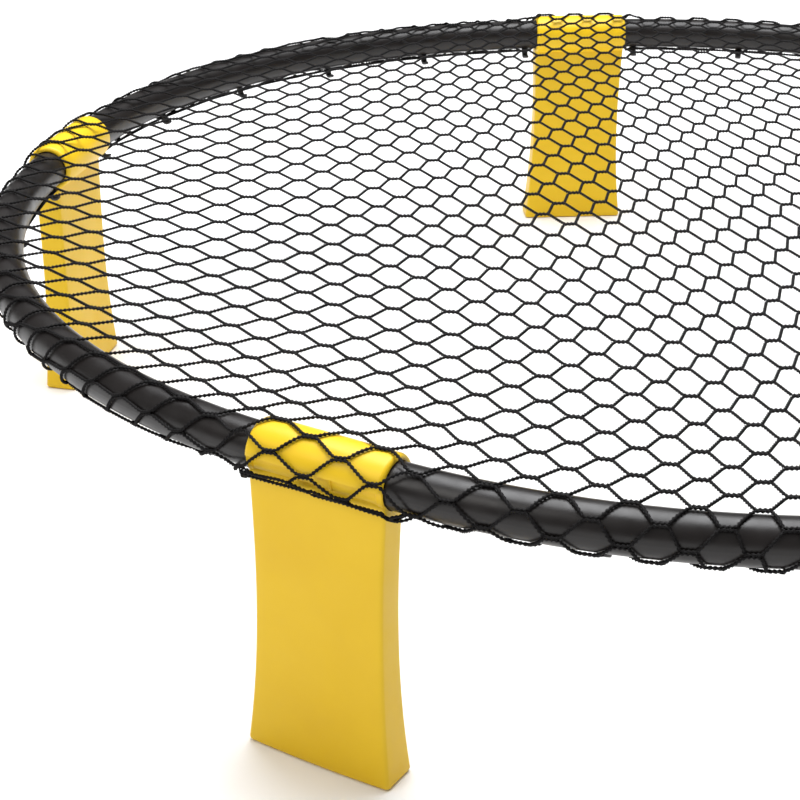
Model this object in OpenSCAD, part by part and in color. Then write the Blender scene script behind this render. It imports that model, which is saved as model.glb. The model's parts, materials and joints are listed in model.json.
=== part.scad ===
// Round net on five short folding legs, for a bounce-ball game.
// Millimetres, +Z up, origin on the floor under the middle of the ring.
// The ring is a rounded pentagon: straight at each leg, a round arc between legs.

/* [Ring] */
// Largest outer radius of the ring, halfway between two legs
ring_r = 457; // [440:1:470]
// Outside radius of the ring tube
tube_r = 12; // [12:0.5:13]
// Wall thickness of the ring tube
tube_wall = 2; // [1.6:0.1:2.4]
// Straight length of tube on each side of a leg's middle
straight_half = 27; // [26:1:30]
// Height of the tube's axis above the floor
axis_z = 166; // [156:1:176]

/* [Joiners] */
// Length of the plug that joins two tubes inside a leg's sleeve
joiner_len = 50; // [40:1:50]
// Wall thickness of the plug
joiner_wall = 2; // [1.5:0.1:2.5]

/* [Legs] */
// Outside radius of the sleeve that turns on the tube
sleeve_r = 15.5; // [15.5:0.1:16]
// Half the length of the sleeve
sleeve_half = 38.5; // [37:0.5:40]
// Half the width of the leg at its narrowest
waist_half = 36.7; // [34:0.1:38]
// Half the width of the leg at the floor
foot_half = 42.8; // [40:0.1:44]
// Outer face of the leg at its waist, outward from the tube's axis
waist_out = 12.4; // [11:0.1:13]
// Inner face of the leg at its waist, inward from the tube's axis
waist_in = 4.8; // [4:0.1:6]
// Outer face at the floor, outward from the tube's axis
foot_out = 15.2; // [14:0.1:16]
// Inner face at the floor, inward from the tube's axis
foot_in = 8.8; // [8:0.1:10]
// Wall thickness of the hollow leg
leg_wall = 3; // [2:0.1:4]
// Angle that a leg folds inward, under the net
fold_deg = 85; // [60:1:85]

/* [Net] */
// Thickness of the net's plain stand-in sheet
net_t = 1; // [0.6:0.1:1.4]
// Radius of the cord along the net's edge
edge_cord_r = 1.2; // [1:0.1:1.3]
// Hooks under each tube
hooks_per_tube = 6; // [4:1:6]
// Angle between hooks, about the arc's own centre
hook_pitch = 13.2; // [12:0.1:13.2]

/* [Hidden] */
$fn = 96;
legs = 5;
step_deg = 360 / legs;
half_deg = step_deg / 2;
first_leg = -90;
black = [0.10, 0.09, 0.09];
yellow = [0.88, 0.72, 0.17];
dark_grey = [0.16, 0.15, 0.16];

// The ring's centre line
leg_r = ring_r - tube_r - straight_half * (1 / sin(half_deg) - 1 / tan(half_deg));
arc_shift = straight_half / sin(half_deg);
arc_r = leg_r - straight_half / tan(half_deg);
bore_r = tube_r - tube_wall;

// Fits
turn_gap = 0.08;        // leg's sleeve on the tube
mouth_gap = 0.55;       // sleeve's wider mouths, over the start of each arc
land_half = 24;         // half the length of the close-fitting stretch
plug_gap = 0.05;        // joiner in the tube
shoulder_half = 0.8;    // ring on the joiner, between the two tubes' ends
tube_end = 1;           // each tube's end, from the leg's middle
end_swell = 0.05;       // how far a tube's straight ends stand proud of its arc
end_overlap = 1;

// Stop on top of the tube, which keeps a leg from swinging outward past upright
key_from = 4;           // nearest to the leg's middle
key_len = 6;
key_half = 3;           // half its width round the tube
key_r = tube_r + 1.4;
groove_r = key_r + 0.3;
key_place = 90;
key_deg = asin(key_half / tube_r);
slot_gap_deg = 1;

// Leg's side view
lip_z = -6;             // top edge of the plate's outer face
lip_round = 1;
roll_end_z = 1;         // the sleeve's roll ends here in front, above a groove
recess_r = tube_r + 0.9; // back of that groove
neck_z = -4;            // where the plate runs into the sleeve
hollow_top_z = -20;
waist_z = -65;
foot_round = 3;
flare_power = 2.2;
side_steps = 12;
web_t = 1.6;            // small webs in the groove
webs = [-35, -10, 10, 35];

// Hooks
hook_deg = -104;        // place round the tube: 0 is outward, -90 is down
hook_half = 2.5;        // half its width along the tube
hook_t = 3.2;
hook_tip_r = 19.6;      // end of the hook, from the tube's axis
hook_tip_t = 2.6;
hook_reach = 4.4;
peg_r = 1.9;
peg_gap = 0.05;

// Net
deck_z = 11.2;          // underside of the net's flat, above the tube's axis
deck_in = 5.4;          // its edge, inward from the axis, beside the tube
deck_notch = 12.4;      // and beside a sleeve
notch_half = 41;
skin_gap = 0.35;
tube_skin = [-60, 112]; // stretch of the tube that the net wraps, in degrees
sleeve_skin = [-18, 130];
skin_end_deg = 33.4;

// Edge cord: across each leg's front, then down round the tube to the hooks
cord_front_deg = -27;
cord_under_deg = -118;
cord_front_r = sleeve_r + 0.5 + edge_cord_r;
cord_under_r = tube_r + 0.7 + edge_cord_r;
cord_turn = [38.7, 43.2]; // it goes round the tube between these, from the leg's middle
cord_sides = 8;

// ---- frames ----

// Frame at a leg's middle: x outward, y along the tube, z up
module at_leg(i) {
    rotate([0, 0, first_leg + step_deg * (i - 1)])
        translate([leg_r, 0, axis_z])
            children();
}

// Frame at the centre of the arc that follows leg i, x towards the arc's middle
module at_arc(i) {
    rotate([0, 0, first_leg + half_deg + step_deg * (i - 1)])
        translate([arc_shift, 0, axis_z])
            children();
}

// Sweeps a 2D section (x outward, y up, about the tube's axis) from angle a to b of an arc
module along_arc(a, b) {
    rotate([0, 0, a])
        rotate_extrude(angle = b - a)
            translate([arc_r, 0])
                children();
}

// A cylinder along the tube, between y0 and y1
module along_tube(r, y0, y1) {
    translate([0, y0, 0])
        rotate([-90, 0, 0])
            cylinder(r = r, h = y1 - y0);
}

// A pie slice from angle a to b, x outward and z up, between y0 and y1
module slice(r, a, b, y0, y1) {
    translate([0, y1, 0])
        rotate([90, 0, 0])
            linear_extrude(height = y1 - y0)
                polygon(concat([[0, 0]], [for (k = [0:8]) r * direction(a + (b - a) * k / 8)]));
}

function direction(a) = [cos(a), sin(a)];

// ---- ring ----

// Straight end of a tube, a hair thicker in the wall than the arc, which starts inside it
module tube_end_piece(y0, y1) {
    difference() {
        along_tube(tube_r, y0, y1);
        along_tube(bore_r, y0 - 1, y1 + 1);
    }
}

// Small key that a leg's stop groove rides over
module stop_key(y0) {
    intersection() {
        translate([-key_half, y0, tube_r - 2])
            cube([2 * key_half, key_len, 3 + key_r - tube_r]);
        difference() {
            along_tube(key_r, y0 - 1, y0 + key_len + 1);
            along_tube(tube_r - tube_wall / 2, y0 - 2, y0 + key_len + 2);
        }
    }
}

module rim_tube(i) {
    color(black)
        difference() {
            union() {
                at_arc(i)
                    along_arc(-half_deg, half_deg)
                        difference() {
                            circle(tube_r - end_swell);
                            circle(bore_r + end_swell);
                        }
                at_leg(i) {
                    tube_end_piece(tube_end, straight_half + end_overlap);
                    stop_key(key_from);
                }
                at_leg(i + 1) {
                    tube_end_piece(-straight_half - end_overlap, -tube_end);
                    stop_key(-key_from - key_len);
                }
            }
            hook_holes(i);
        }
}

module rim_joiner(i) {
    r = bore_r - plug_gap;
    color(dark_grey)
        at_leg(i)
            difference() {
                union() {
                    along_tube(r, -joiner_len / 2, joiner_len / 2);
                    along_tube(tube_r - 0.4, -shoulder_half, shoulder_half);
                }
                along_tube(r - joiner_wall, -joiner_len, joiner_len);
            }
}

// ---- hooks ----

function hook_place(k) = (k - (hooks_per_tube - 1) / 2) * hook_pitch;

// Frame of one hook: x along the tube's radius at the hook, y along the tube
module at_hook(i, k) {
    at_arc(i)
        rotate([0, 0, hook_place(k)])
            translate([arc_r, 0, 0])
                rotate([0, -hook_deg, 0])
                    children();
}

module hook_holes(i) {
    for (k = [0:hooks_per_tube - 1])
        at_hook(i, k)
            translate([bore_r - 1, 0, 0])
                rotate([0, 90, 0])
                    cylinder(r = peg_r, h = tube_wall + 3, $fn = 32);
}

// One hook: a peg through the tube's wall, a foot on its outside, a stem and an inward tip
module hook() {
    foot_r = tube_r + 0.1;
    translate([bore_r + 0.2, 0, 0])
        rotate([0, 90, 0])
            cylinder(r = peg_r - peg_gap, h = tube_wall + 1, $fn = 32);
    translate([foot_r, -hook_half, -hook_t / 2])
        cube([hook_tip_r - foot_r, 2 * hook_half, hook_t]);
    translate([hook_tip_r - hook_tip_t, -hook_half, -hook_t / 2 - hook_reach])
        cube([hook_tip_t, 2 * hook_half, hook_reach + 1]);
}

module net_hooks(i) {
    color(black)
        for (k = [0:hooks_per_tube - 1])
            at_hook(i, k)
                hook();
}

// ---- legs ----

// 0 above the waist, rising to 1 at the floor
function flare(z) = pow(max(0, (waist_z - z) / (waist_z + axis_z)), flare_power);
function face_out(z, inset = 0) = waist_out + (foot_out - waist_out) * flare(z) - inset;
function face_in(z, inset = 0) = -waist_in - (foot_in - waist_in) * flare(z) + inset;
// Half width: widens a little towards the sleeve and more towards the floor
function half_width(z, inset = 0) =
    waist_half - inset
    + (foot_half - waist_half) * flare(z)
    + (sleeve_half - waist_half) * pow(max(0, (z - waist_z) / (neck_z - waist_z)), 2);
function heights(z0, z1) = [for (k = [0:side_steps]) z0 + (z1 - z0) * k / side_steps];
function round_corner(c, r, a, b) = [for (k = [0:4]) c + r * direction(a + (b - a) * k / 4)];

// Side view of the plate, as [outward, up]
function side_view() = concat(
    [[0, lip_z]],
    round_corner([face_out(lip_z) - lip_round, lip_z - lip_round], lip_round, 90, 0),
    [for (z = heights(lip_z - 6, -axis_z + 2 * foot_round)) [face_out(z), z]],
    round_corner([foot_out - foot_round, -axis_z + foot_round], foot_round, 0, -90),
    round_corner([-foot_in + foot_round, -axis_z + foot_round], foot_round, -90, -180),
    [for (z = heights(-axis_z + 2 * foot_round, neck_z)) [face_in(z), z]],
    [[0, neck_z]]
);

// Front view of the plate, as [along the tube, up]
function front_edge() = concat(
    round_corner([foot_half - foot_round, -axis_z + foot_round], foot_round, -90, 0),
    [for (z = heights(-axis_z + 2 * foot_round, neck_z)) [half_width(z), z]],
    [[half_width(neck_z), 0]]
);

function mirrored(p) = [for (k = [len(p) - 1:-1:0]) [-p[k][0], p[k][1]]];

module side_plate(p) {
    rotate([90, 0, 0])
        linear_extrude(height = 120, center = true)
            polygon(p);
}

module front_plate(p) {
    rotate([90, 0, 90])
        linear_extrude(height = 80, center = true)
            polygon(p);
}

module leg_plate() {
    intersection() {
        side_plate(side_view());
        front_plate(concat(front_edge(), mirrored(front_edge())));
    }
}

// Sealed hollow of the moulded leg
module leg_hollow() {
    bottom = -axis_z + leg_wall + 1;
    side = concat(
        [for (z = heights(hollow_top_z, bottom)) [face_out(z, leg_wall), z]],
        [for (z = heights(bottom, hollow_top_z)) [face_in(z, leg_wall), z]]
    );
    edge = [for (z = heights(bottom, hollow_top_z)) [half_width(z, leg_wall), z]];
    intersection() {
        side_plate(side);
        front_plate(concat(edge, mirrored(edge)));
    }
}

module leg_bore() {
    along_tube(tube_r + turn_gap, -sleeve_half, sleeve_half);
    along_tube(tube_r + mouth_gap, land_half, sleeve_half + 5);
    along_tube(tube_r + mouth_gap, -sleeve_half - 5, -land_half);
    // groove over the stop keys, as far round as the leg folds
    intersection() {
        slice(2 * groove_r, key_place - key_deg - slot_gap_deg,
            key_place + key_deg + fold_deg + slot_gap_deg,
            -key_from - key_len - 0.5, key_from + key_len + 0.5);
        along_tube(groove_r, -key_from - key_len - 0.5, key_from + key_len + 0.5);
    }
}

// Small webs across the groove in front
module groove_webs() {
    for (y = webs)
        translate([0, y + web_t / 2, 0])
            rotate([90, 0, 0])
                linear_extrude(height = web_t)
                    polygon([
                        [tube_r, lip_z - 1], [waist_out, lip_z - 1],
                        [sleeve_r - 1, roll_end_z + 0.5], [tube_r, roll_end_z + 0.5]
                    ]);
}

// The roll over the tube, cut away in front below its end
module leg_roll() {
    difference() {
        along_tube(sleeve_r, -sleeve_half, sleeve_half);
        translate([0, -sleeve_half - 1, -2 * sleeve_r + roll_end_z])
            cube([2 * sleeve_r, 2 * sleeve_half + 2, 2 * sleeve_r]);
    }
    along_tube(recess_r, -sleeve_half, sleeve_half);
}

module leg(i) {
    color(yellow)
        at_leg(i)
            difference() {
                union() {
                    leg_roll();
                    leg_plate();
                    groove_webs();
                }
                leg_bore();
                leg_hollow();
            }
}

// ---- net ----

// Outline of the ring's centre line, moved inward, with a point every few degrees
function ring_outline(inward) = [
    for (i = [0:legs - 1])
        let (mid = first_leg + half_deg + step_deg * i)
            for (k = [-12:12])
                arc_shift * direction(mid) + (arc_r - inward) * direction(mid + k * half_deg / 12)
];

module net() {
    color(black)
        difference() {
            translate([0, 0, axis_z + deck_z])
                linear_extrude(height = net_t)
                    polygon(ring_outline(deck_in));
            for (i = [1:legs])
                at_leg(i)
                    translate([-deck_notch, -notch_half, 0])
                        cube([40, 2 * notch_half, 2 * deck_z]);
        }
}

// A band of net round the tube or round a sleeve, as a 2D section from angle a to b
module skin_section(r, a, b) {
    difference() {
        circle(r + net_t);
        circle(r);
        polygon(concat([[0, 0]], [for (k = [0:8]) 3 * r * direction(b + (360 + a - b) * k / 8)]));
    }
}

module net_border() {
    color(black)
        for (i = [1:legs]) {
            at_arc(i)
                along_arc(-skin_end_deg, skin_end_deg)
                    skin_section(tube_r + skin_gap, tube_skin[0], tube_skin[1]);
            at_leg(i)
                translate([0, sleeve_half - 0.5, 0])
                    rotate([90, 0, 0])
                        linear_extrude(height = 2 * sleeve_half - 1)
                            skin_section(sleeve_r + skin_gap, sleeve_skin[0], sleeve_skin[1]);
        }
}

// ---- edge cord ----

function smooth(x) = let (u = min(1, max(0, x))) u * u * (3 - 2 * u);
// How far round the cord has turned, at a distance along the tube from the leg's middle
function turned(y) = smooth((y - cord_turn[0]) / (cord_turn[1] - cord_turn[0]));

// Point on the cord's centre line, y along the ring from leg 1's middle
arc_len = arc_r * step_deg * PI / 180;
span = 2 * straight_half + arc_len;
function cord_point(y) =
    let (
        i = floor(y / span + 0.5),
        t = y - i * span,
        u = turned(abs(t)),
        a = cord_front_deg + (cord_under_deg - cord_front_deg) * u,
        r = cord_front_r + (cord_under_r - cord_front_r) * u,
        leg_a = first_leg + step_deg * i,
        bend = sign(t) * max(0, abs(t) - straight_half) / arc_r * 180 / PI,
        straight = min(straight_half, abs(t)) * sign(t),
        mid_a = leg_a + sign(t) * half_deg,
        here = bend == 0
            ? leg_r * direction(leg_a) + straight * direction(leg_a + 90)
            : arc_shift * direction(mid_a) + arc_r * direction(leg_a + bend),
        out = here + r * cos(a) * direction(leg_a + bend)
    )
    [out[0], out[1], axis_z + r * sin(a)];

// Rings along one span: close together where the cord turns round the tube
turn_stations = [for (k = [0:5]) cord_turn[0] + (cord_turn[1] - cord_turn[0]) * k / 5];
half_stations = concat([12, 30], turn_stations, [50, 70, 100, 130, 165, 200, 235]);
n_half = len(half_stations);
stations = [
    for (i = [0:legs - 1])
        each concat(
            [for (k = [n_half - 1:-1:0]) i * span - half_stations[k]],
            [for (k = [0:n_half - 1]) i * span + half_stations[k]]
        )
];

function unit(v) = v / norm(v);
function cord_ring(y) =
    let (
        p = cord_point(y),
        along = unit(cord_point(y + 0.2) - cord_point(y - 0.2)),
        up = unit([0, 0, 1] - along[2] * along),
        side = cross(along, up)
    )
    [
        for (k = [0:cord_sides - 1])
            p + edge_cord_r * (cos(k * 360 / cord_sides) * side + sin(k * 360 / cord_sides) * up)
    ];

module net_edge_cord() {
    n = len(stations);
    points = [for (y = stations) each cord_ring(y)];
    faces = [
        for (j = [0:n - 1])
            for (k = [0:cord_sides - 1])
                let (
                    a = j * cord_sides + k,
                    b = j * cord_sides + (k + 1) % cord_sides,
                    c = ((j + 1) % n) * cord_sides + (k + 1) % cord_sides,
                    d = ((j + 1) % n) * cord_sides + k
                )
                each [[a, b, c], [a, c, d]]
    ];
    color(black)
        polyhedron(points = points, faces = faces, convexity = 6);
}

rim_tube(1);  // rim_tube_1
rim_tube(2);  // rim_tube_2
rim_tube(3);  // rim_tube_3
rim_tube(4);  // rim_tube_4
rim_tube(5);  // rim_tube_5
rim_joiner(1);  // rim_joiner_1
rim_joiner(2);  // rim_joiner_2
rim_joiner(3);  // rim_joiner_3
rim_joiner(4);  // rim_joiner_4
rim_joiner(5);  // rim_joiner_5
leg(1);  // leg_1
leg(2);  // leg_2
leg(3);  // leg_3
leg(4);  // leg_4
leg(5);  // leg_5
net_hooks(1);  // net_hooks_1
net_hooks(2);  // net_hooks_2
net_hooks(3);  // net_hooks_3
net_hooks(4);  // net_hooks_4
net_hooks(5);  // net_hooks_5
net();
net_border();
net_edge_cord();
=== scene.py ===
"""Round bounce net on five short folding legs: the looks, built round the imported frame.

Lengths inside the shape functions are millimetres. to_metres() turns them into the frame's metres.
"""
import json
import math

import bmesh
import bpy
import numpy as np
from mathutils import Matrix, Vector


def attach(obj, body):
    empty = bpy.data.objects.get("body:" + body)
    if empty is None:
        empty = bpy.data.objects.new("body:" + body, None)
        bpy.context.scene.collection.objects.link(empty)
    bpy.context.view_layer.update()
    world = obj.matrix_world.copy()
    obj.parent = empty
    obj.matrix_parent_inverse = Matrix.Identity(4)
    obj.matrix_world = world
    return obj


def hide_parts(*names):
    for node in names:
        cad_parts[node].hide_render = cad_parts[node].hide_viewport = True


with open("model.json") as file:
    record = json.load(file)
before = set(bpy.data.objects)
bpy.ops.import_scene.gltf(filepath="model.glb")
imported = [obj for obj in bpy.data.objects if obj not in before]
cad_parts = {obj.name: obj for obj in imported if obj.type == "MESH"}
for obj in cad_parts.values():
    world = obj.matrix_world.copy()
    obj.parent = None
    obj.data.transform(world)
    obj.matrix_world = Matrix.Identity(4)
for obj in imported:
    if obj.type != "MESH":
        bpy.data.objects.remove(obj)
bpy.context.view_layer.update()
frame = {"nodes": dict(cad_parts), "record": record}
MM = 0.001
UP = np.array([0.0, 0.0, 1.0])

# ---- the ring, from the frame's joints and the design's own sizes ----

JOINTS = frame["record"]["behaviour"]["joints"]
LEGS = len(JOINTS)
STEP = 2 * math.pi / LEGS
HALF = STEP / 2
FIRST_LEG = -math.pi / 2
LEG_R = math.hypot(*JOINTS[0]["pos_m"][:2]) / MM
AXIS_Z = JOINTS[0]["pos_m"][2] / MM
TUBE_R = 12.0
STRAIGHT_HALF = 27.0
ARC_R = LEG_R - STRAIGHT_HALF / math.tan(HALF)
ARC_LEN = ARC_R * STEP
SPAN = 2 * STRAIGHT_HALF + ARC_LEN

# Legs, in a leg's own frame: x outward from the tube's axis, y along the tube, z up
SLEEVE_R = 15.5
SLEEVE_HALF = 38.5
SLEEVE_ROUND = 2.4
LEG_DROP = AXIS_Z
NECK_HALF = 38.9
WAIST_HALF = 37.1
FOOT_HALF = 42.8
WAIST_OUT = 12.6
FOOT_OUT = 15.4
WAIST_IN = 5.6
FOOT_IN = 8.8
WAIST_Z = -65.0
NECK_Z = -8.0
FLARE_POWER = 2.2
CROWN = 1.2
CORNER_R = 2.2
FOOT_ROUND = 2.6
LIP_Z = -4.8
ROLL_END_Z = 2.0
RECESS_R = TUBE_R + 0.9
ROLL_REAR = -100
BORE_R = TUBE_R + 0.25
GROOVE_R = TUBE_R + 1.7
GROOVE_HALF = 10.5
GROOVE_TURN = (74, 191)
WEBS = ((-36.6, 1.7), (-9.5, 0.8), (9.5, 0.8), (36.6, 1.7))
SIDE_STEPS = {6: 3, 13: 14, 20: 3, 27: 14}

# Hooks under each tube
HOOKS = 6
HOOK_PITCH = math.radians(13.2)
HOOK_ANGLE = math.radians(-104)

# Net and cords
CORD_R = 1.08
TWIST_PITCH = 4.6
RING_STEP = 0.7
SKIN_GAP = 0.15
TUBE_WRAP = TUBE_R + SKIN_GAP + CORD_R
SLEEVE_WRAP = SLEEVE_R + SKIN_GAP + CORD_R
EDGE_FRONT = math.radians(-27)
EDGE_UNDER = math.radians(-118)
EDGE_TURN = (39.8, 43.6)
EDGE_DROP = (40.4, 42.8)
EDGE_LIFT = 1.9
STRAND_HALF = 0.95
STRAND_ROLL = 0.35
STRAND_SWAY = 19.0
STRANDS_PART = 2.8
STRANDS_PART_AT = (-14, 13)
TENT = 15.0
TENT_IN = 60.0

# The net's cells: ten cells along each of its two directions, at the middle of the ring,
# then how those directions bend and crowd towards the rim, the same on opposite sides
NET_MIDDLE = (6.4, 8.85)
NET_U = np.array([218.0, -73.0])
NET_V = np.array([-18.3, 237.0])
NET_BEND_UUU = np.array([-4.0, 7.0])
NET_BEND_UUV = np.array([16.5, 4.0])
NET_BEND_UVV = np.array([5.0, 1.0])
NET_BEND_VVV = np.array([15.0, -8.0])
NET_REACH = 54
NET_DISC = 2.62
# at the front leg the net is drawn a little to the left, in millimetres
NET_PULL = np.array([-9.5, 2.6])
NET_PULL_AT = np.array([0.0, -LEG_R])
NET_PULL_REACH = 130.0
JOINT_HALF = 3.7
JOINT_APART = 0.62
NET_PIECES = 8

# The stage, in metres: half the floor's width, and where it fades into the background
FLOOR_HALF = 8.0
FLOOR_FADE = (0.9, 2.6)


def to_metres(points):
    return np.asarray(points, dtype=float) * MM


def smooth(x):
    u = np.clip(x, 0, 1)
    return u * u * (3 - 2 * u)


def unit(v):
    return v / np.maximum(np.linalg.norm(v, axis=-1, keepdims=True), 1e-9)


def leg_angle(i):
    return FIRST_LEG + STEP * i


def leg_matrix(i):
    """From leg i's own frame, in millimetres, to the row frame, in metres."""
    a = leg_angle(i)
    place = Matrix.Translation(
        Vector((LEG_R * math.cos(a), LEG_R * math.sin(a), AXIS_Z)) * MM
    )
    return place @ Matrix.Rotation(a, 4, "Z") @ Matrix.Scale(MM, 4)


# ---- camera ----


def make_camera():
    """The photograph's view: place in millimetres, turn, tilt and roll in radians."""
    place = (429.4, -1081.4, 573.6)
    turn, tilt, roll = -0.5432, 0.4489, 0.0045
    ahead = Vector(
        (
            math.sin(turn) * math.cos(tilt),
            math.cos(turn) * math.cos(tilt),
            -math.sin(tilt),
        )
    )
    right = ahead.cross(Vector((0, 0, 1))).normalized()
    up = right.cross(ahead)
    right2 = math.cos(roll) * right + math.sin(roll) * up
    up2 = math.cos(roll) * up - math.sin(roll) * right
    data = bpy.data.cameras.new("camera")
    data.sensor_width = 36
    data.lens = 82.88
    data.clip_start, data.clip_end = 0.05, 50
    cam = bpy.data.objects.new("camera", data)
    bpy.context.scene.collection.objects.link(cam)
    turned = Matrix((right2, up2, -ahead)).transposed().to_4x4()
    cam.matrix_world = Matrix.Translation(Vector(place) * MM) @ turned
    bpy.context.scene.camera = cam


# ---- mesh helpers ----


def add_mesh(name, points, faces, material, body, matrix=None):
    """A piece from points in metres, or in a leg's millimetres with its matrix."""
    mesh = bpy.data.meshes.new(name)
    mesh.from_pydata([tuple(p) for p in points], [], [tuple(f) for f in faces])
    if matrix is not None:
        mesh.transform(matrix)
    mesh.update()
    mesh.shade_smooth()
    piece = bpy.data.objects.new(name, mesh)
    bpy.context.scene.collection.objects.link(piece)
    mesh.materials.append(material)
    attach(piece, body)
    return piece


def crease(piece, degrees):
    """Keeps edges sharper than this angle crisp, and the rest smooth."""
    piece.data.set_sharp_from_angle(angle=math.radians(degrees))


def join_shells(shells):
    """One list of points and faces from several closed shells."""
    points, faces, first = [], [], 0
    for p, f in shells:
        points.extend(p)
        faces.extend([tuple(i + first for i in face) for face in f])
        first += len(p)
    return points, faces


def loft(rings, cap=True):
    """A closed shell through rings of equally many points."""
    n = len(rings[0])
    points = [tuple(p) for ring in rings for p in ring]
    faces = []
    for j in range(len(rings) - 1):
        for k in range(n):
            a, b = j * n + k, j * n + (k + 1) % n
            faces.append((a, b, b + n, a + n))
    if cap:
        faces.append(tuple(reversed(range(n))))
        last = (len(rings) - 1) * n
        faces.append(tuple(range(last, last + n)))
    return points, faces


# ---- materials ----


class Nodes:
    """A material's node tree, with short names for what the materials here use."""

    def __init__(self, name):
        self.material = bpy.data.materials.new(name)
        self.material.use_nodes = True
        self.tree = self.material.node_tree
        self.shader = self.tree.nodes["Principled BSDF"]
        self.where = self.add("ShaderNodeTexCoord").outputs["Object"]

    def add(self, kind, **values):
        node = self.tree.nodes.new(kind)
        for key, value in values.items():
            setattr(node, key, value)
        return node

    def link(self, out, into):
        self.tree.links.new(out, into)

    def noise(self, scale, detail=3.0, roughness=0.5, stretch=None):
        """Noise with a pitch given as features to the metre."""
        node = self.add("ShaderNodeTexNoise")
        node.inputs["Scale"].default_value = scale
        node.inputs["Detail"].default_value = detail
        node.inputs["Roughness"].default_value = roughness
        source = self.where
        if stretch is not None:
            mapping = self.add("ShaderNodeMapping")
            mapping.inputs["Scale"].default_value = stretch
            self.link(source, mapping.inputs["Vector"])
            source = mapping.outputs["Vector"]
        self.link(source, node.inputs["Vector"])
        return node.outputs["Fac"]

    def ramp(self, value, stops):
        node = self.add("ShaderNodeValToRGB")
        node.color_ramp.elements[0].position = stops[0][0]
        node.color_ramp.elements[0].color = (*stops[0][1], 1)
        node.color_ramp.elements[1].position = stops[-1][0]
        node.color_ramp.elements[1].color = (*stops[-1][1], 1)
        for place, colour in stops[1:-1]:
            node.color_ramp.elements.new(place).color = (*colour, 1)
        self.link(value, node.inputs["Fac"])
        return node.outputs["Color"]

    def span(self, value, low, high):
        node = self.add("ShaderNodeMapRange")
        node.inputs["From Min"].default_value = 0.3
        node.inputs["From Max"].default_value = 0.7
        node.inputs["To Min"].default_value = low
        node.inputs["To Max"].default_value = high
        self.link(value, node.inputs["Value"])
        return node.outputs["Result"]

    def mix(self, factor, a, b, blend="MIX"):
        node = self.add("ShaderNodeMix", data_type="RGBA", blend_type=blend)
        for value, socket in ((factor, 0), (a, 6), (b, 7)):
            if isinstance(value, bpy.types.NodeSocket):
                self.link(value, node.inputs[socket])
            elif socket == 0:
                node.inputs[socket].default_value = value
            else:
                node.inputs[socket].default_value = (*value, 1)
        return node.outputs[2]

    def bump(self, height, strength, distance, under=None):
        node = self.add("ShaderNodeBump")
        node.inputs["Strength"].default_value = strength
        node.inputs["Distance"].default_value = distance
        self.link(height, node.inputs["Height"])
        if under is not None:
            self.link(under, node.inputs["Normal"])
        return node.outputs["Normal"]

    def set(self, name, value):
        socket = self.shader.inputs[name]
        if isinstance(value, bpy.types.NodeSocket):
            self.link(value, socket)
        else:
            socket.default_value = value


def yellow_plastic():
    """Satin moulded plastic: a little mottled, with fine grain and slow moulding ripples, and a
    painted highlight of lighter yellow along its sharp convex edges.
    """
    m = Nodes("yellow_plastic")
    tone = m.ramp(
        m.noise(22, 4),
        [(0.3, (0.80, 0.50, 0.007)), (0.5, (0.82, 0.52, 0.008)), (0.7, (0.84, 0.54, 0.010))],
    )
    # painted highlight: where the surface is sharply convex, the colour turns a lighter, warmer
    # yellow, as if light caught the edges
    convexity = m.add("ShaderNodeNewGeometry").outputs["Pointiness"]
    edge = m.ramp(convexity, [(0.5, (0, 0, 0)), (0.58, (0.35, 0.35, 0.35))])
    m.set("Base Color", m.mix(edge, tone, (0.93, 0.68, 0.05)))
    m.set("Roughness", m.span(m.noise(60, 5), 0.34, 0.46))
    ripples = m.bump(m.noise(28, 2, stretch=(0.5, 0.5, 1.6)), 0.2, 0.001)
    m.set("Normal", m.bump(m.noise(1400, 2), 0.12, 0.0002, ripples))
    m.set("Specular IOR Level", 0.3)
    return m.material


def black_tube():
    """Extruded black plastic: a soft sheen, faint mottling and small scuffs."""
    m = Nodes("black_tube")
    tone = m.ramp(m.noise(35, 5), [(0.3, (0.006, 0.0045, 0.0042)), (0.7, (0.011, 0.0085, 0.008))])
    scuff = m.ramp(m.noise(420, 6, 0.7), [(0.66, (0, 0, 0)), (0.76, (0.5, 0.5, 0.5))])
    m.set("Base Color", m.mix(scuff, tone, (0.035, 0.032, 0.031)))
    m.set("Roughness", m.span(m.noise(90, 4), 0.3, 0.42))
    m.set("Normal", m.bump(m.noise(700, 3), 0.10, 0.0002))
    m.set("Specular IOR Level", 0.4)
    return m.material


def twisted_twine():
    """Black twisted polyester twine: fibres across the strands, and a dusty grey bloom."""
    m = Nodes("twisted_twine")
    fibre = m.noise(2600, 3, 0.6, stretch=(1, 1, 0.4))
    bloom = m.noise(55, 3)
    dark = m.ramp(fibre, [(0.3, (0.0025, 0.0022, 0.0022)), (0.7, (0.009, 0.008, 0.0085))])
    m.set("Base Color", m.mix(m.span(bloom, 0.0, 0.2), dark, (0.02, 0.019, 0.02)))
    m.set("Roughness", m.span(fibre, 0.5, 0.72))
    m.set("Normal", m.bump(fibre, 0.5, 0.0003))
    m.set("Specular IOR Level", 0.15)
    return m.material


def hook_plastic():
    """Matt black moulded plastic."""
    m = Nodes("hook_plastic")
    tone = m.ramp(m.noise(300, 3), [(0.3, (0.010, 0.010, 0.011)), (0.7, (0.024, 0.023, 0.024))])
    m.set("Base Color", tone)
    m.set("Roughness", m.span(m.noise(500, 3), 0.42, 0.6))
    m.set("Normal", m.bump(m.noise(1500, 2), 0.15, 0.0002))
    return m.material


def dark_plug():
    """Matt dark plastic of the plugs inside the sleeves."""
    m = Nodes("dark_plug")
    tone = m.ramp(m.noise(200, 3), [(0.3, (0.03, 0.03, 0.03)), (0.7, (0.05, 0.048, 0.048))])
    m.set("Base Color", tone)
    m.set("Roughness", m.span(m.noise(400, 3), 0.5, 0.65))
    m.set("Normal", m.bump(m.noise(1200, 2), 0.15, 0.0002))
    return m.material


# ---- legs ----


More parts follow.
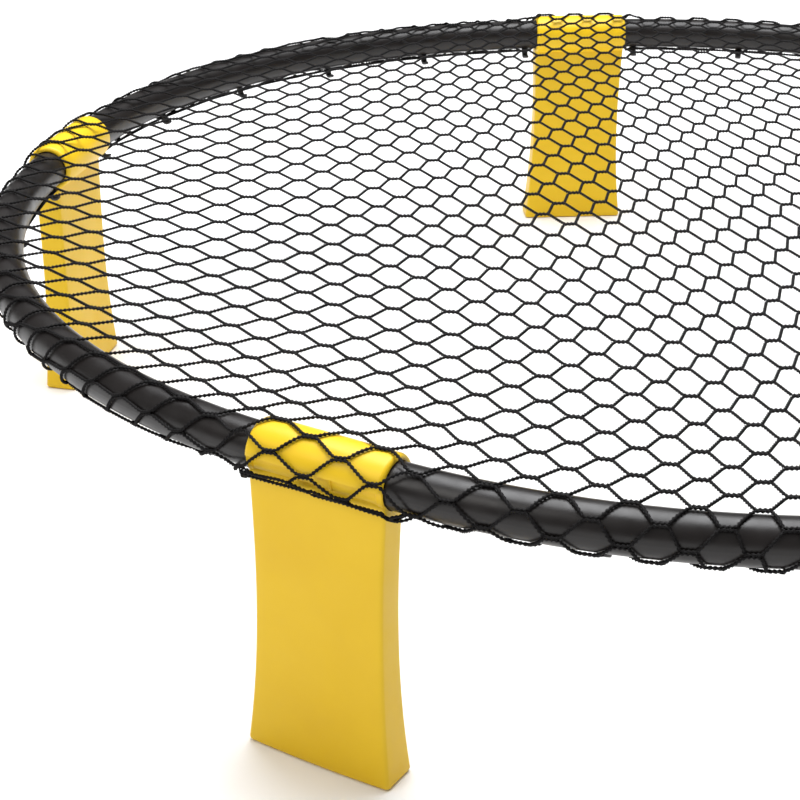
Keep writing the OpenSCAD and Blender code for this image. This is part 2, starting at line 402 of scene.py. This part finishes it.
def flare(z):
    """0 above the waist, rising to 1 at the floor."""
    return max(0.0, (WAIST_Z - z) / (WAIST_Z + LEG_DROP)) ** FLARE_POWER


def half_width(z):
    towards_neck = min(1.0, max(0.0, (z - WAIST_Z) / (NECK_Z - WAIST_Z))) ** 1.6
    return (
        WAIST_HALF
        + (FOOT_HALF - WAIST_HALF) * flare(z)
        + (NECK_HALF - WAIST_HALF) * towards_neck
    )


def face_out(z):
    return WAIST_OUT + (FOOT_OUT - WAIST_OUT) * flare(z)


def face_in(z):
    return -WAIST_IN - (FOOT_IN - WAIST_IN) * flare(z)


def plate_ring(z, out, inner, half, corner, crown):
    """Level outline of the leg: a rounded oblong with a crowned outer face."""
    corners = (
        (out - corner, half - corner, 0),
        (inner + corner, half - corner, 90),
        (inner + corner, -half + corner, 180),
        (out - corner, -half + corner, 270),
    )
    ring = []
    for cx, cy, start in corners:
        for k in range(7):
            a = math.radians(start + 15 * k)
            ring.append((cx + corner * math.cos(a), cy + corner * math.sin(a)))
    filled = []
    for k, (x, y) in enumerate(ring):
        x2, y2 = ring[(k + 1) % len(ring)]
        steps = SIDE_STEPS.get(k, 1)
        for s in range(steps):
            filled.append((x + (x2 - x) * s / steps, y + (y2 - y) * s / steps))
    middle = (out + inner) / 2
    shaped = []
    for x, y in filled:
        share = max(0.0, (x - middle) / (out - middle))
        shaped.append((x - crown * share * (y / half) ** 2, y, z))
    return shaped


def plate_shell():
    """The leg's plate, from its rounded foot to its top edge, before the bore is cut."""
    rings = []
    for k in range(6):
        a = math.radians(90 * k / 5)
        inset = FOOT_ROUND * (1 - math.sin(a))
        z = -LEG_DROP + FOOT_ROUND * (1 - math.cos(a))
        rings.append(
            plate_ring(
                z,
                face_out(z) - inset,
                face_in(z) + inset,
                half_width(z) - inset,
                CORNER_R,
                CROWN,
            )
        )
    levels = 46
    start, stop = -LEG_DROP + FOOT_ROUND + 2, LIP_Z - 2.4
    for k in range(levels + 1):
        z = start + (stop - start) * k / levels
        rings.append(plate_ring(z, face_out(z), face_in(z), half_width(z), CORNER_R, CROWN))
    lip = ((1.4, 0.05), (0.8, 0.25), (0.3, 0.65), (0.0, 1.3))
    for below, back in lip:
        z = LIP_Z - below
        rings.append(
            plate_ring(z, WAIST_OUT - back, face_in(z), half_width(z), CORNER_R, CROWN)
        )
    return loft(rings)


def sleeve_rim(radius, rounding):
    """One half of the roll's outer outline as (radius, y), from its long side to its end."""
    return [
        (
            radius - rounding * (1 - math.sin(math.radians(a))),
            SLEEVE_HALF - rounding * (1 - math.cos(math.radians(a))),
        )
        for a in (90, 68, 45, 22, 0)
    ]


def sleeve_shell():
    """The roll over the tube, open at both ends; in front, below its end, only a thin wall."""
    mouth = TUBE_R + 0.5
    inside = [(mouth, SLEEVE_HALF - 0.2), (mouth, 24.0), (BORE_R, 23.5)]
    thick, thin = [
        sleeve_rim(radius, rounding) + inside
        for radius, rounding in ((SLEEVE_R, SLEEVE_ROUND), (RECESS_R, 0.2))
    ]
    front_end = math.degrees(math.asin(ROLL_END_Z / SLEEVE_R))
    turns = [(front_end + k * (360 + ROLL_REAR - front_end) / 96, thick) for k in range(97)]
    turns += [(ROLL_REAR + k * (front_end - ROLL_REAR) / 30, thin) for k in range(31)]
    rings = []
    for degrees, half in turns:
        a = math.radians(degrees)
        profile = half + [(r, -y) for r, y in reversed(half)]
        rings.append([(r * math.cos(a), y, r * math.sin(a)) for r, y in profile])
    rings.append(rings[0])
    return loft(rings, cap=False)


def web_shell(y, half):
    """One small web that ties the plate's top edge to the roll's end, across the recess."""
    front = (
        (WAIST_OUT - 1.2, LIP_Z - 2.0),
        (WAIST_OUT + 0.4, LIP_Z + 0.8),
        (WAIST_OUT + 1.3, ROLL_END_Z + 0.4),
    )
    back = []
    for z in (ROLL_END_Z + 0.4, LIP_Z / 2, LIP_Z - 2.0):
        back.append((math.sqrt((TUBE_R + 0.55) ** 2 - z**2), z))
    rings = []
    for offset, inset in ((-half, 0.3), (-half + 0.3, 0.0), (half - 0.3, 0.0), (half, 0.3)):
        ring = [(x - inset, y + offset, z) for x, z in front]
        rings.append(ring + [(x, y + offset, z) for x, z in back])
    return loft(rings)


def sector_shell(radius, turn, half):
    """A closed prism along y whose section is a sector of a circle, or a whole circle."""
    start, stop = turn
    whole = stop - start >= 360
    steps = 120
    section = [] if whole else [(0.0, 0.0)]
    for k in range(steps if whole else steps + 1):
        a = math.radians(start + (stop - start) * k / steps)
        section.append((radius * math.cos(a), radius * math.sin(a)))
    return loft([[(x, y, z) for x, z in section] for y in (-half, half)])


def shell_object(shell):
    """A working object from a closed shell, with its normals outward."""
    mesh = bpy.data.meshes.new("working_shell")
    mesh.from_pydata(shell[0], [], shell[1])
    work = bmesh.new()
    work.from_mesh(mesh)
    bmesh.ops.recalc_face_normals(work, faces=work.faces)
    work.to_mesh(mesh)
    work.free()
    piece = bpy.data.objects.new("working_shell", mesh)
    bpy.context.scene.collection.objects.link(piece)
    return piece


def cut_away(shell, cutters):
    """The closed shell less what lies inside the cutters."""
    body = shell_object(shell)
    tools = [shell_object(cutter) for cutter in cutters]
    for tool in tools:
        cut = body.modifiers.new("cut", "BOOLEAN")
        cut.operation = "DIFFERENCE"
        cut.solver = "EXACT"
        cut.object = tool
    result = body.evaluated_get(bpy.context.evaluated_depsgraph_get()).to_mesh()
    points = [tuple(v.co) for v in result.vertices]
    faces = [tuple(f.vertices) for f in result.polygons]
    for used in [body] + tools:
        mesh = used.data
        bpy.data.objects.remove(used)
        bpy.data.meshes.remove(mesh)
    return points, faces


def make_legs(material):
    bore = sector_shell(BORE_R, (0, 360), SLEEVE_HALF + 10)
    groove = sector_shell(GROOVE_R, GROOVE_TURN, GROOVE_HALF)
    plate = cut_away(plate_shell(), [bore])
    sleeve = cut_away(sleeve_shell(), [groove])
    points, faces = join_shells([plate, sleeve] + [web_shell(*w) for w in WEBS])
    for i in range(LEGS):
        name = f"leg_{i + 1}"
        piece = add_mesh(f"{name}_moulding", points, faces, material, name, leg_matrix(i))
        crease(piece, 38)
        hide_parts(name)


# ---- places round the ring ----


def ring_place(points):
    """For points in plan: distance outward from the tube's axis, distance along it from the
    nearest leg's middle, the foot on the axis, and the outward direction."""
    angle = np.arctan2(points[:, 1], points[:, 0])
    near = np.round((angle - FIRST_LEG) / STEP)
    a = FIRST_LEG + near * STEP
    ex = np.stack([np.cos(a), np.sin(a)], 1)
    ey = np.stack([-np.sin(a), np.cos(a)], 1)
    u = (points * ex).sum(1)
    v = (points * ey).sum(1)
    side = np.where(v < 0, -1.0, 1.0)
    cu, cv = LEG_R - ARC_R, side * STRAIGHT_HALF
    qu, qv = u - cu, v - cv
    far = np.hypot(qu, qv)
    straight = np.abs(v) <= STRAIGHT_HALF
    turn = np.arctan2(qv * side, qu)
    out = np.where(straight, u - LEG_R, far - ARC_R)
    along = np.where(straight, v, side * (STRAIGHT_HALF + ARC_R * turn))
    nu = np.where(straight, 1.0, np.cos(turn))
    nv = np.where(straight, 0.0, side * np.sin(turn))
    fu = np.where(straight, LEG_R, cu + ARC_R * nu)
    fv = np.where(straight, v, cv + ARC_R * nv)
    foot = fu[:, None] * ex + fv[:, None] * ey
    normal = nu[:, None] * ex + nv[:, None] * ey
    return out, along, foot, normal


def ring_point(y):
    """Foot on the tube's axis and outward direction, y along the ring from leg 1's middle."""
    i = np.floor(y / SPAN + 0.5)
    t = y - i * SPAN
    a = FIRST_LEG + i * STEP
    side = np.where(t < 0, -1.0, 1.0)
    turn = side * np.maximum(np.abs(t) - STRAIGHT_HALF, 0) / ARC_R
    bent = np.abs(t) > STRAIGHT_HALF
    lu = np.where(bent, LEG_R - ARC_R + ARC_R * np.cos(turn), LEG_R)
    lv = np.where(bent, side * STRAIGHT_HALF + ARC_R * np.sin(turn), t)
    ex = np.stack([np.cos(a), np.sin(a)], 1)
    ey = np.stack([-np.sin(a), np.cos(a)], 1)
    foot = lu[:, None] * ex + lv[:, None] * ey
    normal = np.stack([np.cos(a + turn), np.sin(a + turn)], 1)
    return foot, normal, t


def wrap_radius(along):
    """How far the net lies from the tube's axis: over a sleeve, then down to the tube."""
    off = smooth((np.abs(along) - SLEEVE_HALF) / TENT)
    return SLEEVE_WRAP + (TUBE_WRAP - SLEEVE_WRAP) * off


def edge_angle(along):
    """Where the net ends round the tube: in front of a leg, or under the tube."""
    low, high = EDGE_TURN
    turned = smooth((np.abs(along) - low) / (high - low))
    return EDGE_FRONT + (EDGE_UNDER - EDGE_FRONT) * turned


def lay_net(plan, lift):
    """Takes points of the flat, uncut net to where they lie: on the deck, or round the tube.
    Returns places, the direction away from what they lie on, and how far past the edge."""
    out, along, foot, normal = ring_place(plan)
    radius = wrap_radius(along)
    past = np.maximum(out, 0)
    phi = math.pi / 2 - past / radius
    beyond = edge_angle(along) - phi
    reach = radius + lift
    tent = (radius - TUBE_WRAP) * np.exp(-np.maximum(-out, 0) / TENT_IN * 2)
    level = AXIS_Z + TUBE_WRAP + lift + tent
    deck = np.concatenate([plan, level[:, None]], 1)
    round_xy = foot + normal * (reach * np.cos(phi))[:, None]
    rounded = np.concatenate([round_xy, (AXIS_Z + reach * np.sin(phi))[:, None]], 1)
    on_deck = (out <= 0)[:, None]
    place = np.where(on_deck, deck, rounded)
    away = np.concatenate([normal * np.cos(phi)[:, None], np.sin(phi)[:, None]], 1)
    away = np.where(on_deck, UP, away)
    return place, away, beyond


# ---- cords ----


def twisted(path, away, radius, phase=0.0):
    """Points of a two-strand twisted cord along a path: a slim section that turns as it goes."""
    along = unit(np.gradient(path, axis=0))
    side = unit(np.cross(along, away))
    up = np.cross(side, along)
    steps = np.linalg.norm(np.diff(path, axis=0), axis=1)
    turn = 2 * math.pi * np.concatenate([[0], np.cumsum(steps)]) / TWIST_PITCH + phase
    section = np.array([(1.0, 0.0), (0.0, 0.46), (-1.0, 0.0), (0.0, -0.46)]) * radius
    c, s = np.cos(turn), np.sin(turn)
    rings = []
    for x, y in section:
        rings.append(path + side * (x * c - y * s)[:, None] + up * (x * s + y * c)[:, None])
    return np.stack(rings, 1)


def cord_mesh(cords):
    """Points and faces of many swept cords, with pinched ends."""
    points, quads, first = [], [], 0
    for rings in cords:
        n, k = rings.shape[:2]
        middle = rings.mean(1, keepdims=True)
        rings = rings.copy()
        rings[0] = middle[0] + (rings[0] - middle[0]) * 0.4
        rings[-1] = middle[-1] + (rings[-1] - middle[-1]) * 0.4
        points.append(rings.reshape(-1, 3))
        grid = first + np.arange(n * k).reshape(n, k)
        turned = np.roll(grid, -1, axis=1)
        quads.append(
            np.stack([grid[:-1], turned[:-1], turned[1:], grid[1:]], -1).reshape(-1, 4)
        )
        quads.append(np.stack([grid[0, ::-1], grid[-1]], 0)[:, :4])
        first += n * k
    return np.concatenate(points), np.concatenate(quads)


def add_cords(name, cords, material):
    points, quads = cord_mesh(cords)
    mesh = bpy.data.meshes.new(name)
    mesh.vertices.add(len(points))
    mesh.vertices.foreach_set("co", to_metres(points).astype(np.float32).ravel())
    mesh.loops.add(quads.size)
    mesh.loops.foreach_set("vertex_index", quads.astype(np.int32).ravel())
    mesh.polygons.add(len(quads))
    mesh.polygons.foreach_set("loop_start", np.arange(0, quads.size, 4, dtype=np.int32))
    mesh.update(calc_edges=True)
    mesh.validate()
    mesh.shade_smooth()
    piece = bpy.data.objects.new(name, mesh)
    bpy.context.scene.collection.objects.link(piece)
    mesh.materials.append(material)
    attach(piece, "rim")
    return piece


def net_index(p, q):
    """Joint p of row q of the flat net, in tens of cells from the ring's middle."""
    return ((p + q + 1) / 2 - NET_MIDDLE[0]) / 10, ((p - q + 1) / 2 - NET_MIDDLE[1]) / 10


def net_joint(p, q):
    """Place in plan of joint p of row q of the flat net. Joints stand where p + q is even."""
    x, y = (value[:, None] for value in net_index(p, q))
    bend = NET_BEND_UUU * x**3 + NET_BEND_UUV * x**2 * y + NET_BEND_UVV * x * y**2
    place = NET_U * x + NET_V * y + bend + NET_BEND_VVV * y**3
    away = np.linalg.norm(place - NET_PULL_AT, axis=1, keepdims=True) / NET_PULL_REACH
    return place + NET_PULL * np.exp(-(away**2))


def zigzag(q):
    """One cord of the net in plan, between rows q and q + 1, through a joint at every turn."""
    p = np.arange(-NET_REACH, NET_REACH + 1)
    p = p[np.hypot(*net_index(p, q + 0.5)) < NET_DISC]
    if len(p) < 2:
        return None
    upper = (p + q) % 2 == 0
    row = np.where(upper, q, q + 1)
    here = net_joint(p, row)
    ahead = unit(net_joint(p + 1, row) - net_joint(p - 1, row))
    across = np.stack([-ahead[:, 1], ahead[:, 0]], 1)
    next_row = net_joint(p, row + np.where(upper, 1, -1)) - here
    towards = np.where((next_row * across).sum(1) > 0, 1.0, -1.0)
    beside = across * (towards * JOINT_APART)[:, None]
    ends = np.stack([here - ahead * JOINT_HALF + beside, here + ahead * JOINT_HALF + beside], 1)
    return ends.reshape(-1, 2)


def resample(path, step):
    lengths = np.linalg.norm(np.diff(path, axis=0), axis=1)
    at = np.concatenate([[0], np.cumsum(lengths)])
    wanted = np.arange(0, at[-1], step)
    return np.stack([np.interp(wanted, at, path[:, k]) for k in range(path.shape[1])], 1)


def soften(path, passes):
    """Rounds the corners of an evenly spaced path."""
    for _ in range(passes):
        inner = (path[:-2] + 2 * path[1:-1] + path[2:]) / 4
        path = np.concatenate([path[:1], inner, path[-1:]])
    return path


def runs(keep):
    """Starts and ends of the stretches where keep is true."""
    edges = np.flatnonzero(np.diff(np.concatenate([[0], keep.astype(int), [0]])))
    return edges.reshape(-1, 2)


def make_net(material):
    cords = []
    for q in range(-NET_REACH, NET_REACH):
        corners = zigzag(q)
        if corners is None:
            continue
        path = soften(resample(corners, RING_STEP), 3)
        inside = np.hypot(path[:, 0], path[:, 1]) < LEG_R + 80
        for start, stop in runs(inside):
            if stop - start < 20:
                continue
            part = path[start:stop]
            place, away, beyond = lay_net(part, 0.0)
            for a, b in runs(beyond < 0):
                if (b - a) * RING_STEP > 7:
                    cords.append(twisted(place[a:b], away[a:b], CORD_R, phase=q * 1.3))
    share = math.ceil(sum(len(c) for c in cords) / NET_PIECES)
    batch, count, number = [], 0, 1
    for cord in cords:
        batch.append(cord)
        count += len(cord)
        if count >= share:
            add_cords(f"net_twine_{number}", batch, material)
            batch, count, number = [], 0, number + 1
    if batch:
        add_cords(f"net_twine_{number}", batch, material)
    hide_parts("net", "net_border")


def make_edge_cord(material):
    """The doubled cord that the net's edge hangs on: over the hooks, and across each leg."""
    y = np.arange(0, SPAN * LEGS, RING_STEP)
    foot, normal, along = ring_point(y)
    phi = edge_angle(along)
    front = 1 - smooth((np.abs(along) - EDGE_DROP[0]) / (EDGE_DROP[1] - EDGE_DROP[0]))
    cords = []
    for strand in (0, 1):
        sway = math.pi * strand + y / STRAND_SWAY
        radius = TUBE_R + EDGE_LIFT + (SLEEVE_R - TUBE_R) * front + STRAND_ROLL * np.sin(sway)
        angle = phi + STRAND_HALF * np.cos(sway) / radius
        if strand == 0:
            middle, reach = STRANDS_PART_AT
            angle += STRANDS_PART * front * np.exp(-(((along - middle) / reach) ** 2)) / radius
        xy = foot + normal * (radius * np.cos(angle))[:, None]
        path = np.concatenate([xy, (AXIS_Z + radius * np.sin(angle))[:, None]], 1)
        path = np.concatenate([path, path[:1]])
        away = np.concatenate([normal * np.cos(angle)[:, None], np.sin(angle)[:, None]], 1)
        away = np.concatenate([away, away[:1]])
        cords.append(twisted(path, away, CORD_R, phase=strand * 1.1))
    piece = add_cords("edge_twine", cords, material)
    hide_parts("net_edge_cord")


# ---- hooks ----


def hook_shell():
    """One hook in its own frame: x away from the tube, y along it, tip towards -z."""
    spine = [
        (11.6, 0.0),
        (13.5, 0.0),
        (15.5, 0.0),
        (17.0, -0.25),
        (18.1, -1.1),
        (18.6, -2.4),
        (18.5, -4.0),
        (18.1, -5.6),
    ]
    rings = []
    for k, (x, z) in enumerate(spine):
        x0, z0 = spine[max(k - 1, 0)]
        x1, z1 = spine[min(k + 1, len(spine) - 1)]
        length = math.hypot(x1 - x0, z1 - z0)
        nx, nz = -(z1 - z0) / length, (x1 - x0) / length
        last = k == len(spine) - 1
        wide, thick = (1.7, 0.7) if last else (2.5 + 0.5 * (k == 0), 1.3 + 0.5 * (k == 0))
        ring = []
        for s in range(12):
            a = 2 * math.pi * s / 12
            c, n = math.cos(a), math.sin(a)
            wy = wide * math.copysign(abs(c) ** 0.6, c)
            wt = thick * math.copysign(abs(n) ** 0.6, n)
            ring.append((x + nx * wt, wy, z + nz * wt))
        rings.append(ring)
    return loft(rings)


def make_hooks(material):
    shape, faces = hook_shell()
    shape = np.array(shape)
    away = np.array([math.cos(HOOK_ANGLE), 0, math.sin(HOOK_ANGLE)])
    outward = np.array([-math.sin(HOOK_ANGLE), 0, math.cos(HOOK_ANGLE)])
    local = shape[:, :1] * away + shape[:, 1:2] * np.array([0, 1, 0]) + shape[:, 2:] * outward
    for i in range(LEGS):
        shells = []
        middle = leg_angle(i) + HALF
        shift = STRAIGHT_HALF / math.sin(HALF)
        for k in range(HOOKS):
            turn = middle + (k - (HOOKS - 1) / 2) * HOOK_PITCH
            c, s = math.cos(turn), math.sin(turn)
            x = shift * math.cos(middle) + (ARC_R + local[:, 0]) * c - local[:, 1] * s
            y = shift * math.sin(middle) + (ARC_R + local[:, 0]) * s + local[:, 1] * c
            shells.append((to_metres(np.stack([x, y, AXIS_Z + local[:, 2]], 1)), faces))
        points, all_faces = join_shells(shells)
        piece = add_mesh(f"hooks_{i + 1}", points, all_faces, material, "rim")
        crease(piece, 50)
        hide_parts(f"net_hooks_{i + 1}")


# ---- the frame's own nodes ----


def paint_node(name, material):
    node = frame["nodes"][name]
    node.data.materials.clear()
    node.data.materials.append(material)


# ---- stage ----


def make_stage():
    mesh = bpy.data.meshes.new("floor")
    half = FLOOR_HALF
    corners = [(-half, -half, 0), (half, -half, 0), (half, half, 0), (-half, half, 0)]
    mesh.from_pydata(corners, [], [(0, 1, 2, 3)])
    floor = bpy.data.objects.new("floor", mesh)
    bpy.context.scene.collection.objects.link(floor)
    m = Nodes("pale_floor")
    tone = m.ramp(m.noise(3, 2), [(0.3, (0.93, 0.925, 0.92)), (0.7, (0.95, 0.95, 0.945))])
    m.set("Base Color", tone)
    m.set("Roughness", 0.8)
    m.set("Specular IOR Level", 0.1)
    # far from the part the floor runs into the white background
    far = m.add("ShaderNodeVectorMath", operation="LENGTH")
    m.link(m.where, far.inputs[0])
    fade = m.add("ShaderNodeMapRange", interpolation_type="SMOOTHSTEP")
    fade.inputs["From Min"].default_value = FLOOR_FADE[0]
    fade.inputs["From Max"].default_value = FLOOR_FADE[1]
    m.link(far.outputs["Value"], fade.inputs["Value"])
    m.set("Emission Color", (1, 1, 1, 1))
    m.set("Emission Strength", fade.outputs["Result"])
    mesh.materials.append(m.material)


def add_light(name, place, at, size, power, colour=(1, 1, 1)):
    data = bpy.data.lights.new(name, "AREA")
    data.shape = "RECTANGLE"
    data.size, data.size_y = size
    data.energy = power
    data.color = colour
    light = bpy.data.objects.new(name, data)
    light.location = place
    light.rotation_mode = "QUATERNION"
    light.rotation_quaternion = (Vector(at) - Vector(place)).to_track_quat("-Z", "Y")
    bpy.context.scene.collection.objects.link(light)


def make_lights():
    world = bpy.data.worlds.new("studio")
    world.use_nodes = True
    tree = world.node_tree
    background = tree.nodes["Background"]
    background.inputs["Color"].default_value = (1, 0.99, 0.98, 1)
    rays = tree.nodes.new("ShaderNodeLightPath").outputs
    seen = tree.nodes.new("ShaderNodeMapRange")
    seen.inputs["To Min"].default_value = 0.28
    seen.inputs["To Max"].default_value = 1.0
    tree.links.new(rays["Is Camera Ray"], seen.inputs["Value"])
    tree.links.new(seen.outputs["Result"], background.inputs["Strength"])
    bpy.context.scene.world = world
    add_light("overhead", (-0.3, 0.3, 2.2), (0, 0, 0.1), (1.8, 1.8), 88, (0.97, 0.98, 1.0))
    add_light("key", (-0.8, -2.0, 2.0), (0.1, -0.3, 0.1), (1.2, 1.2), 17, (1.0, 0.98, 0.95))
    bpy.context.scene.view_settings.view_transform = "Standard"


make_camera()
TWINE = twisted_twine()
TUBE = black_tube()
PLUG = dark_plug()
make_net(TWINE)
make_edge_cord(TWINE)
make_hooks(hook_plastic())
make_legs(yellow_plastic())
for number in range(1, LEGS + 1):
    paint_node(f"rim_tube_{number}", TUBE)
    paint_node(f"rim_joiner_{number}", PLUG)
make_stage()
make_lights()
